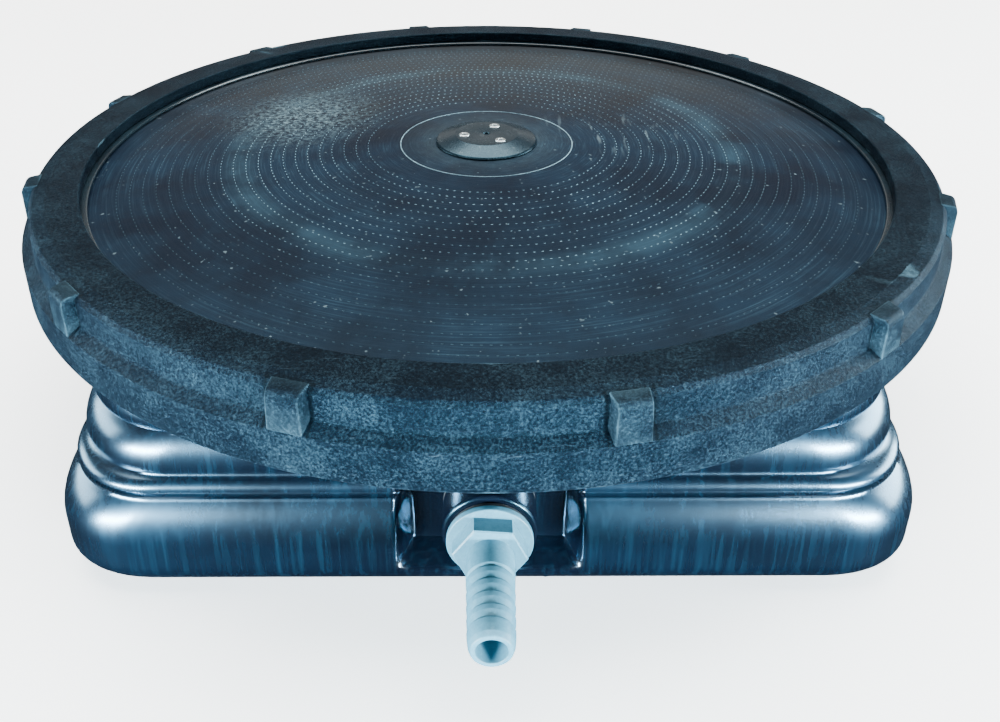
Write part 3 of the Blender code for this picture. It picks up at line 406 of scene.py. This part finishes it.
def membrane_material():
    """Black rubber with concentric rubbed arcs, a pale bloom ring and chalky scuffs, and a painted
    reflection that makes the far side paler and warmer.
    """
    material, tree, principled, coords = shader("membrane_rubber", Specular_IOR_Level=0.10,
                                                Specular_Tint=TEAL)
    radius, angle, (_, y, _) = polar(tree, coords)
    swept = wire(tree, "ShaderNodeCombineXYZ",
                 {0: product(tree, angle, 2.2), 1: product(tree, radius, 0.9)}).outputs[0]
    arcs = noise(tree, swept, 1.6, 5, 0.7)
    fine = noise(tree, coords, 1300, 3, 0.7)
    cloud = noise(tree, coords, 26, 5, 0.65)
    dust = noise(tree, coords, 420, 6, 0.85)
    chalk = noise(tree, coords, 1, 5, 0.75, (420, 560, 1))
    streaks = noise(tree, coords, 1, 3, 0.5, (420, 60, 1))
    rubbed = product(tree, remap(tree, arcs, 0.52, 0.74, 0, 0.42),
                     remap(tree, cloud, 0.4, 0.62, 0.1, 1))
    bloom = product(tree, remap(tree, radius, 86, 94, 0, 1, True),
                    remap(tree, radius, 94, 104, 1, 0, True),
                    remap(tree, cloud, 0.40, 0.62, 0.02, 0.24))
    hub_dust = product(tree, remap(tree, radius, 20, 32, 0.30, 0.08, True),
                       remap(tree, dust, 0.35, 0.7, 0.2, 1), calc(tree, "LESS_THAN", radius, 33))
    left_chalk = product(tree, near(tree, coords, (-0.076, 0.034), (0.040, 0.046)),
                         remap(tree, chalk, 0.46, 0.64, 0, 0.9))
    right_streaks = product(tree, near(tree, coords, (0.050, 0.012), (0.042, 0.030)),
                            remap(tree, streaks, 0.60, 0.70, 0, 0.55))
    # painted reflection: the far side of the membrane turns paler and warmer, standing in for the
    # studio mirrored there
    far_side_painted_reflection = remap(tree, y, -0.02, 0.13, 0, 0.40, True)
    specks = remap(tree, noise(tree, coords, 520, 1, 0.4), 0.74, 0.79, 0, 0.5)
    colour = toned(tree, cloud, (0.36, (0.0003, 0.0012, 0.0058)), (0.66, (0.0026, 0.0082, 0.0185)))
    # the warm grey laid on the far side below is painted reflection
    for mask, paint in ((rubbed, (0.036, 0.084, 0.118)), (bloom, (0.036, 0.084, 0.112)),
                        (hub_dust, (0.05, 0.08, 0.095)), (left_chalk, (0.12, 0.19, 0.22)),
                        (right_streaks, (0.11, 0.155, 0.175)), (far_side_painted_reflection, (0.036, 0.036, 0.032)),
                        (specks, (0.12, 0.17, 0.19))):
        colour = blended(tree, mask, colour, paint)
    rough = total(tree, remap(tree, cloud, 0.3, 0.7, 0.40, 0.50),
                  remap(tree, arcs, 0.3, 0.7, 0.06, -0.06))
    height = total(tree, product(tree, fine, 0.5), arcs)
    surface(tree, principled, colour, rough, height, 0.18, 0.3 * MM)
    return material


def slit_material():
    """Lips of the slits: pale where dust has settled, and almost black elsewhere."""
    material, tree, principled, coords = shader("slit_lips", Specular_IOR_Level=0.25,
                                                Specular_Tint=TEAL)
    cloud = noise(tree, coords, 24, 4, 0.6)
    fine = noise(tree, coords, 700, 2, 0.5)
    colour = toned(tree, weighed(tree, cloud, 0.7, fine), (0.34, (0.010, 0.020, 0.030)),
                   (0.58, (0.17, 0.27, 0.32)))
    radius = polar(tree, coords)[0]
    outer_rows = remap(tree, radius, 92, 112, 0, 0.85, True)
    colour = blended(tree, outer_rows, colour, (0.012, 0.026, 0.036))
    rough = remap(tree, fine, 0.3, 0.7, 0.55, 0.42)
    surface(tree, principled, colour, rough, fine, 0.1, 0.1 * MM)
    return material


def dome_height(radius):
    return MEMBRANE_EDGE + DOME * (1 - (radius / DOME_RADIUS) ** 2)


def membrane():
    """The domed skin, 2 mm thick, with its bead under the slip ring."""
    radii = [HUB_HOLE + (DOME_RADIUS - HUB_HOLE) * i / MEMBRANE_RINGS
             for i in range(MEMBRANE_RINGS + 1)]
    outline = [(r, dome_height(r)) for r in radii]
    outline += [(r * MM, MEMBRANE_EDGE - depth * MM) for r, depth in BEAD_CORNERS]
    outline += [(r, dome_height(r) - SKIN) for r in reversed(radii)]
    skin = mesh_piece("membrane_skin", *spun(outline, 288), "base", "membrane_rubber",
                      ["membrane"])
    skin.data.materials.append(membrane_material())


def slits():
    """Short raised lips along each slit, in rows round the hub, and one thin moulded ring."""
    rng = random.Random(4)
    points, faces = [], []
    row, radius = 0, SLIT_FIRST
    while radius < SLIT_LAST:
        count = int(2 * math.pi * radius / SLIT_PITCH)
        start = rng.random()
        for index in range(count):
            angle = 2 * math.pi * (index + start) / count
            half = (SLIT_HALF + SLIT_HALF_MORE * rng.random()) / radius
            out = (radius + SLIT_SWAY * (rng.random() - 0.5)) * MM
            height = dome_height(out)
            faces += [tuple(len(points) + i for i in face) for face in LIP_FACES]
            for along, outward, up in LIP_POINTS:
                a, r = angle + along * half, out + outward * MM
                points.append(Vector((r * math.cos(a), r * math.sin(a), height + up * MM)))
        row += 1
        radius = SLIT_FIRST + SLIT_ROW * row
    crown = dome_height(RIB_RADIUS)
    rib = spun([(RIB_RADIUS + out * MM, crown + up * MM) for out, up in RIB_SECTION], 180)
    lips = mesh_piece("membrane_slits", *merged((points, faces), rib), "base", "membrane_rubber",
                      ["membrane"])
    lips.data.materials.append(slit_material())


# ------------------------------------------------------------ cap and its screws

CAP_CORNERS = [  # radius, depth below the top face, fillet, in millimetres
    (0.02, 0.9, 0), (1.0, 0.9, 0.1), (1.3, 0, 0.25), (12.1, 0, 0.7), (19.0, 2.05, 0.5),
    (19.7, 2.8, 0.1), (0.02, 2.8, 0)]
SCREW_CORNERS = [
    (0.02, 0.65, 0), (0.75, 0.55, 0.1), (1.0, 0.1, 0.15), (2.1, 0.1, 0.45), (2.1, 1.2, 0.05),
    (1.2, 1.2, 0.05), (1.2, 10.5, 0.1), (0.02, 11.4, 0)]


def centre_cap():
    outline = filleted(metres(CAP_CORNERS, CAP_TOP))
    cap = mesh_piece("hub_cap", *spun(outline, 128), "base", "cap_plastic", ["centre_cap"])
    cap.data.materials.append(moulded(
        "hub_plastic", (0.0008, 0.0020, 0.0045), (0.005, 0.011, 0.016), 0.28, grain=900, patch=70,
        bump=0.10, speck=0.15, Specular_IOR_Level=0.45, Specular_Tint=TEAL))


def screws():
    steel = moulded("screw_steel", (0.35, 0.40, 0.42), (0.72, 0.78, 0.80), 0.30, grain=1500,
                    patch=300, bump=0.1, Metallic=1.0)
    for number in (1, 2, 3):
        node = f"centre_screw_{number}"
        low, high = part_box(node)
        place = Matrix.Translation(((low[0] + high[0]) / 2, (low[1] + high[1]) / 2, 0))
        outline = filleted(metres(SCREW_CORNERS, high[2]), 4)
        piece = mesh_piece(f"hub_screw_{number}", *spun(outline, 36, place), "base",
                           "stainless_steel", [node])
        piece.data.materials.append(steel)


# --------------------------------------------------------------------- the base

HALF, CORNER = 136.4 * MM, 26.6 * MM  # half width and corner radius at the widest level
SPREAD = 0.79  # how much a corner's radius grows for each unit that the walls draw in
POCKET_BACK, POCKET_HALF, POCKET_SIDE = 125.5 * MM, 29.3 * MM, 6.2 * MM
POCKET_LOW, POCKET_LOW_BLEND = 10.4 * MM, 2.6 * MM
POCKET_HIGH, POCKET_HIGH_BLEND = 55.5 * MM, 4.0 * MM
SEAM_X, SEAM_WIDTH, SEAM_DEPTH = 17.6 * MM, 0.45 * MM, 0.35 * MM
SEAM_TOP, SEAM_BLEND = 12 * MM, 2 * MM
FILLER_Z, FILLER_FACE, FILLER_RADIUS, FILLER_BLEND = 21.5 * MM, 131.0 * MM, 14.4 * MM, 0.9 * MM
COVER_RADIUS, WELL_RADIUS, SPIGOT_HOLE = 42.5 * MM, 40.5 * MM, 13.6 * MM
DECK, COVER_DEPTH = 3 * MM, 3.3 * MM
COLUMNS = [i * 0.5 * MM for i in range(-65, 66)]  # close together across the pocket
FLANK_STEPS, SIDE_STEPS, CORNER_STEPS = 18, 44, 16
BASE_SMOOTH_ANGLE = math.radians(50)


def shell_material():
    """Blow-moulded black polyethylene, waxy, with fine upright scuffs; smoother in the pocket."""
    material, tree, principled, coords = shader(
        "shell_plastic", Specular_IOR_Level=0.8, Specular_Tint=TEAL, Coat_Weight=0.8,
        Coat_Roughness=0.24, Coat_Tint=TEAL)
    scuff = noise(tree, coords, 1, 4, 0.65, (520, 520, 16))
    broad = noise(tree, coords, 22, 4, 0.6)
    fine = noise(tree, coords, 1400, 2, 0.6)
    colour = toned(tree, broad, (0.35, (0.0004, 0.0008, 0.0022)), (0.65, (0.0012, 0.0026, 0.0055)))
    colour = blended(tree, remap(tree, scuff, 0.5, 0.8, 0, 0.5), colour, (0.008, 0.017, 0.024))
    rough = total(tree, remap(tree, scuff, 0.3, 0.7, 0.235, 0.285),
                  remap(tree, broad, 0.3, 0.7, -0.03, 0.05))
    split = wire(tree, "ShaderNodeSeparateXYZ", {0: coords})
    in_width = calc(tree, "LESS_THAN", calc(tree, "ABSOLUTE", split.outputs[0]),
                    POCKET_HALF - 0.5 * MM)
    in_front = calc(tree, "LESS_THAN", split.outputs[1], -100 * MM)
    rough = total(tree, rough, product(tree, in_width, in_front, -0.14))
    surface(tree, principled, colour, rough, fine, 0.03, 0.2 * MM)
    return material


def arc(out, z, reach_out, reach_z, start, end, steps):
    """Points (out, z) of an ellipse, given in millimetres and degrees."""
    angles = [math.radians(start + (end - start) * i / steps) for i in range(steps + 1)]
    return [((out + reach_out * math.cos(a)) * MM, (z + reach_z * math.sin(a)) * MM)
            for a in angles]


def base_profile():
    """(half width, height) of each level of the outer wall, from the foot to the deck."""
    top = DECK_Z / MM
    foot = arc(123.3, 11.0, 13.1, 11.0, -90, 0, 14)
    wall = [(HALF, z * MM) for z in (12.2, 13.4, 14.6, 15.8, 17, 18.2, 19.2)]
    belly = arc(118.4, 19.8, 18.0, 22.4, 0, 41, 14)
    groove = [((132.0 - 1.3 * math.sin(math.pi * i / 6)) * MM, (34.8 + 2.2 * i / 6) * MM)
              for i in range(7)]
    step = arc(127.6, 37.0, 4.4, 4.4, 10, 62, 6)
    middle = arc(117.3, 44.0, 12.0, 15.5, -9, 40, 12)
    upper = arc(115.4, top - 11.0, 11.0, 11.0, -17, 90, 18)
    return foot + wall + belly + groove + step + middle + upper


def plan(half):
    """One level of the base, counter-clockwise from the left end of the front."""
    corner = CORNER + SPREAD * (HALF - half)
    flat = half - corner
    limit = COLUMNS[-1]
    run = [-flat + (flat - limit) * i / FLANK_STEPS for i in range(FLANK_STEPS)] + COLUMNS
    run += [limit + (flat - limit) * (i + 1) / FLANK_STEPS for i in range(FLANK_STEPS)]
    side = [-flat + 2 * flat * i / SIDE_STEPS for i in range(SIDE_STEPS + 1)]
    centre = Vector((flat, -flat, 0))
    points = []
    for quarter, places in enumerate((run, side, run, side)):
        turn = Matrix.Rotation(math.pi / 2 * quarter, 3, "Z")
        points += [turn @ Vector((x, -half, 0)) for x in places]
        for step in range(1, CORNER_STEPS):
            angle = -math.pi / 2 + math.pi / 2 * step / CORNER_STEPS
            points.append(turn @ (centre + corner * Vector((math.cos(angle), math.sin(angle), 0))))
    return points


def pressed(point):
    """A point of the outer wall, moved in where the pocket, the seam or the filling recess is."""
    x, y, z = point
    if y < -POCKET_BACK and abs(x) < POCKET_HALF + MM:
        depth = eased((POCKET_HALF - abs(x)) / POCKET_SIDE)
        depth *= eased((z - POCKET_LOW) / POCKET_LOW_BLEND)
        depth *= eased((POCKET_HIGH - z) / POCKET_HIGH_BLEND)
        seam = SEAM_DEPTH * math.exp(-((x - SEAM_X) / SEAM_WIDTH) ** 2)
        seam *= eased((SEAM_TOP - z) / SEAM_BLEND)
        y += (-POCKET_BACK - y) * depth - seam * (1 - depth)
    if y > FILLER_FACE:
        away = math.hypot(x, z - FILLER_Z)
        y += (FILLER_FACE - y) * eased((FILLER_RADIUS - away) / FILLER_BLEND)
    return Vector((x, y, z))


def base_shell():
    """The outer wall, the deck with its spigot hole, and the well for the air parts."""
    loops = [[pressed(Vector((p.x, p.y, z))) for p in plan(half)] for half, z in base_profile()]
    rays = [Vector((p.x, p.y, 0)).normalized() for p in plan(HALF)]
    inner = [(SPIGOT_HOLE, DECK_Z), (SPIGOT_HOLE, DECK_Z - DECK), (WELL_RADIUS, DECK_Z - DECK),
             (WELL_RADIUS, COVER_DEPTH), (COVER_RADIUS, COVER_DEPTH), (COVER_RADIUS, 0)]
    loops += [[ray * radius + Vector((0, 0, z)) for ray in rays] for radius, z in inner]
    shell = mesh_piece("base_shell", *bridged(loops), "base", "black_polyethylene",
                       ["ballast_shell"], BASE_SMOOTH_ANGLE)
    shell.data.materials.append(shell_material())


# -------------------------------------------------------- collar and hose tail

# Turns Z, the axis that outlines are spun about, to point out of the front at the inlet.
FRONT = Matrix.Translation((0, 0, INLET_Z)) @ Matrix.Rotation(math.pi / 2, 4, "X")
COLLAR_CORNERS = [  # radius, distance in front of the disc's axis, fillet, in millimetres
    (10.35, 139.7, 0.4), (14.25, 139.7, 1.3), (14.25, 127.4, 0.3), (12.8, 127.4, 0.1),
    (12.8, 108.0, 0.3), (10.35, 108.0, 0.2)]
TAIL_CORNERS = [
    (4.3, 127.2, 0.1), (8.6, 127.2, 0.2), (9.3, 128.0, 0.2), (9.3, 141.5, 0.0),
    (12.9, 141.5, 0.35), (12.9, 143.6, 0.45), (7.05, 143.6, 0.0), (7.05, 157.6, 0.6)]
TAIL_END = [(6.35, 180.3, 0.8), (5.7, TAIL_TIP / MM, 0.6), (4.35, TAIL_TIP / MM, 0.3)]
BARB_COUNT, BARB_START, BARB_PITCH, BARB_TAPER = 5, 158.3, 4.3, 0.08
BARB_ROOT, BARB_CREST = 6.45, 7.0
NUT_SIDES, NUT_ACROSS, NUT_TURN = 6, 19.3 * MM, math.radians(85)
NUT_BACK, NUT_FRONT, NUT_CHAMFER, NUT_CHAMFER_IN = 142.6 * MM, 149.1 * MM, 0.35 * MM, 0.45 * MM


def inlet_collar():
    outline = filleted(metres(COLLAR_CORNERS), 7)
    collar = mesh_piece("collar", *spun(outline, 128, FRONT), "base", "black_collar",
                        ["inlet_collar"])
    collar.data.materials.append(moulded(
        "collar_plastic", (0.0006, 0.0010, 0.0030), (0.002, 0.004, 0.009), 0.22, grain=1200,
        patch=90, bump=0.08, Specular_IOR_Level=0.5, Specular_Tint=TEAL))


def barbs():
    """Corners of the barbs: each a sharp step up and a long slope down."""
    corners = []
    for index in range(BARB_COUNT):
        start, thinner = BARB_START + BARB_PITCH * index, BARB_TAPER * index
        root, crest = BARB_ROOT - thinner, BARB_CREST - thinner
        corners += [(root, start, 0.15), (crest, start + 0.75, 0.5),
                    (crest - 0.1, start + 2.4, 0.9)]
    return corners


def nut():
    """The tail's hexagon: sharp corners and a chamfered front edge."""
    loops = []
    for place, inward in ((NUT_BACK, 0), (NUT_FRONT - NUT_CHAMFER, 0), (NUT_FRONT, NUT_CHAMFER_IN)):
        reach = NUT_ACROSS / 2 / math.cos(math.pi / NUT_SIDES) - inward
        loops.append(circle(reach, place, NUT_SIDES, math.pi / NUT_SIDES))
    points, faces = bridged(loops, closed=False)
    faces.append(tuple(range(NUT_SIDES)))
    faces.append(tuple(range(len(points) - NUT_SIDES, len(points))))
    turn = FRONT @ Matrix.Rotation(NUT_TURN, 4, "Z")
    return [turn @ p for p in points], faces


def hose_tail():
    outline = filleted(metres(TAIL_CORNERS + barbs() + TAIL_END), 4)
    tail = mesh_piece("barbed_tail", *merged(spun(outline, 96, FRONT), nut()), "hose_tail",
                      "grey_blue_nylon", ["hose_tail"])
    tail.data.materials.append(moulded(
        "tail_nylon", (0.030, 0.105, 0.150), (0.056, 0.165, 0.225), 0.42, grain=900, patch=60,
        bump=0.12, speck=0.15, pale=(0.16, 0.30, 0.36), Specular_IOR_Level=0.35))


# ------------------------------------------------------------ carried-over nodes


def finish_cad_nodes():
    """Every CAD node that still shows gets a material with its own grain."""
    made = {
        "sand": moulded("packed_sand", (0.30, 0.23, 0.15), (0.62, 0.52, 0.38), 0.85, grain=700,
                        patch=60, bump=0.6, speck=0.6, pale=(0.75, 0.68, 0.55)),
        "black_cap": moulded("cap_nylon", (0.010, 0.012, 0.016), (0.035, 0.042, 0.050), 0.42,
                             grain=1100, patch=50, bump=0.2),
        "black_rubber": moulded("seal_rubber", (0.008, 0.008, 0.009), (0.022, 0.023, 0.025), 0.75,
                                grain=900, patch=80, bump=0.3),
        "grey_polypropylene": moulded("plate_plastic", (0.022, 0.027, 0.032), (0.060, 0.068, 0.075),
                                      0.50, grain=800, patch=40, bump=0.2, speck=0.2),
        "valve_rubber": moulded("valve_silicone", (0.07, 0.022, 0.016), (0.13, 0.048, 0.034), 0.55,
                                grain=900, patch=120, bump=0.2),
        "grey_pvc": moulded("pipe_pvc", (0.13, 0.14, 0.15), (0.20, 0.21, 0.22), 0.38, grain=900,
                            patch=40, bump=0.1),
    }
    slots = {entry["node"]: entry["material_slot"] for entry in frame["record"]["subparts"]}
    for name, obj in frame["nodes"].items():
        material = made.get(slots[name])
        if material:
            obj.data.materials.clear()
            obj.data.materials.append(material)


# --------------------------------------------------- floor, light and the camera

FLOOR_HALF, FLOOR_DROP = 60.0, 0.4 * MM
BACKDROP_RADIUS, BACKDROP_FOOT, BACKDROP_TOP, BACKDROP_SIDES = 30, -0.01, 30, 64
PAPER_GLOW = 1.4

WORLD_COLOUR, WORLD_STRENGTH = (0.80, 0.92, 1.0, 1), 0.05
COOL, PALE_TEAL = (0.80, 0.95, 1.0), (0.76, 0.93, 1.0)
LIGHTS = [  # name, place, target, size, power, colour
    ("top_box", (0.0, 0.35, 1.7), (0, 0, 0), (2.6, 1.8), 150, (1, 0.99, 0.97)),
    ("back_box", (0.0, 1.4, 0.50), (0, 0, 0.08), (1.8, 0.35), 2.0, (1, 0.95, 0.88)),
    ("left_box", (-1.2, 0.05, 0.30), (0, 0, 0.06), (0.8, 0.4), 16, COOL),
    ("right_box", (1.2, 0.05, 0.30), (0, 0, 0.06), (0.9, 0.5), 45, COOL),
    ("front_left", (-0.62, -0.75, 0.05), (-0.10, -0.13, 0.03), (0.45, 0.09), 78, PALE_TEAL),
    ("front_right", (0.62, -0.75, 0.05), (0.10, -0.13, 0.03), (0.45, 0.09), 78, PALE_TEAL)]

LENS, SENSOR = 36.40, 36  # millimetres
SHIFT_X, SHIFT_Y = 0.0192, -0.131
CAMERA_X, CAMERA_Y, CAMERA_ABOVE_RING = -0.0035, -0.3650, 0.1495
LOOK_DOWN, LOOK_ASIDE = 27.26, -0.21  # degrees


def paper():
    """White paper that glows a little, so that it stays white in the picture."""
    material, tree, principled, coords = shader(
        "floor_paper", Roughness=0.8, Specular_IOR_Level=0.2, Emission_Color=(1, 1, 1, 1),
        Emission_Strength=PAPER_GLOW)
    tone = toned(tree, noise(tree, coords, 3, 3), (0.3, (0.93, 0.93, 0.93)),
                 (0.7, (0.96, 0.96, 0.96)))
    tree.links.new(tone, principled.inputs["Base Color"])
    return material


def staged(name, points, faces, material):
    """A piece of the studio, kept out of reflections."""
    mesh = bpy.data.meshes.new(name)
    mesh.from_pydata([tuple(p) for p in points], [], faces)
    mesh.materials.append(material)
    obj = bpy.data.objects.new(name, mesh)
    bpy.context.scene.collection.objects.link(obj)
    obj.visible_glossy = False
    return obj


def studio():
    """The floor, and a backdrop round it that lights nothing and casts no shadow."""
    material = paper()
    corners = [(x * FLOOR_HALF, y * FLOOR_HALF, 0) for x, y in ((-1, -1), (1, -1), (1, 1), (-1, 1))]
    ground = staged("floor", corners, [(0, 1, 2, 3)], material)
    ground.location.z = -FLOOR_DROP
    rims = [circle(BACKDROP_RADIUS, z, BACKDROP_SIDES) for z in (BACKDROP_FOOT, BACKDROP_TOP)]
    wall = staged("backdrop", *bridged(rims, closed=False), material)
    wall.visible_diffuse = wall.visible_shadow = False


def lights():
    world = bpy.data.worlds.new("studio")
    world.use_nodes = True
    background = world.node_tree.nodes["Background"]
    background.inputs["Color"].default_value = WORLD_COLOUR
    background.inputs["Strength"].default_value = WORLD_STRENGTH
    bpy.context.scene.world = world
    for name, place, target, size, power, colour in LIGHTS:
        data = bpy.data.lights.new(name, "AREA")
        data.shape = "RECTANGLE"
        data.size, data.size_y = size
        data.energy = power
        data.color = colour
        obj = bpy.data.objects.new(name, data)
        obj.location = place
        aim = Vector(target) - Vector(place)
        obj.rotation_euler = aim.to_track_quat("-Z", "Y").to_euler()
        obj.visible_camera = False
        bpy.context.scene.collection.objects.link(obj)


def camera():
    data = bpy.data.cameras.new("photo_view")
    data.sensor_width = SENSOR
    data.lens = LENS
    data.shift_x, data.shift_y = SHIFT_X, SHIFT_Y
    obj = bpy.data.objects.new("photo_view", data)
    obj.location = (CAMERA_X, CAMERA_Y, RING_TOP + CAMERA_ABOVE_RING)
    obj.rotation_euler = (math.radians(90 - LOOK_DOWN), 0, math.radians(LOOK_ASIDE))
    bpy.context.scene.collection.objects.link(obj)
    bpy.context.scene.camera = obj


camera()
clamp_ring()
slip_ring()
membrane()
slits()
centre_cap()
screws()
base_shell()
inlet_collar()
hose_tail()
finish_cad_nodes()
studio()
lights()
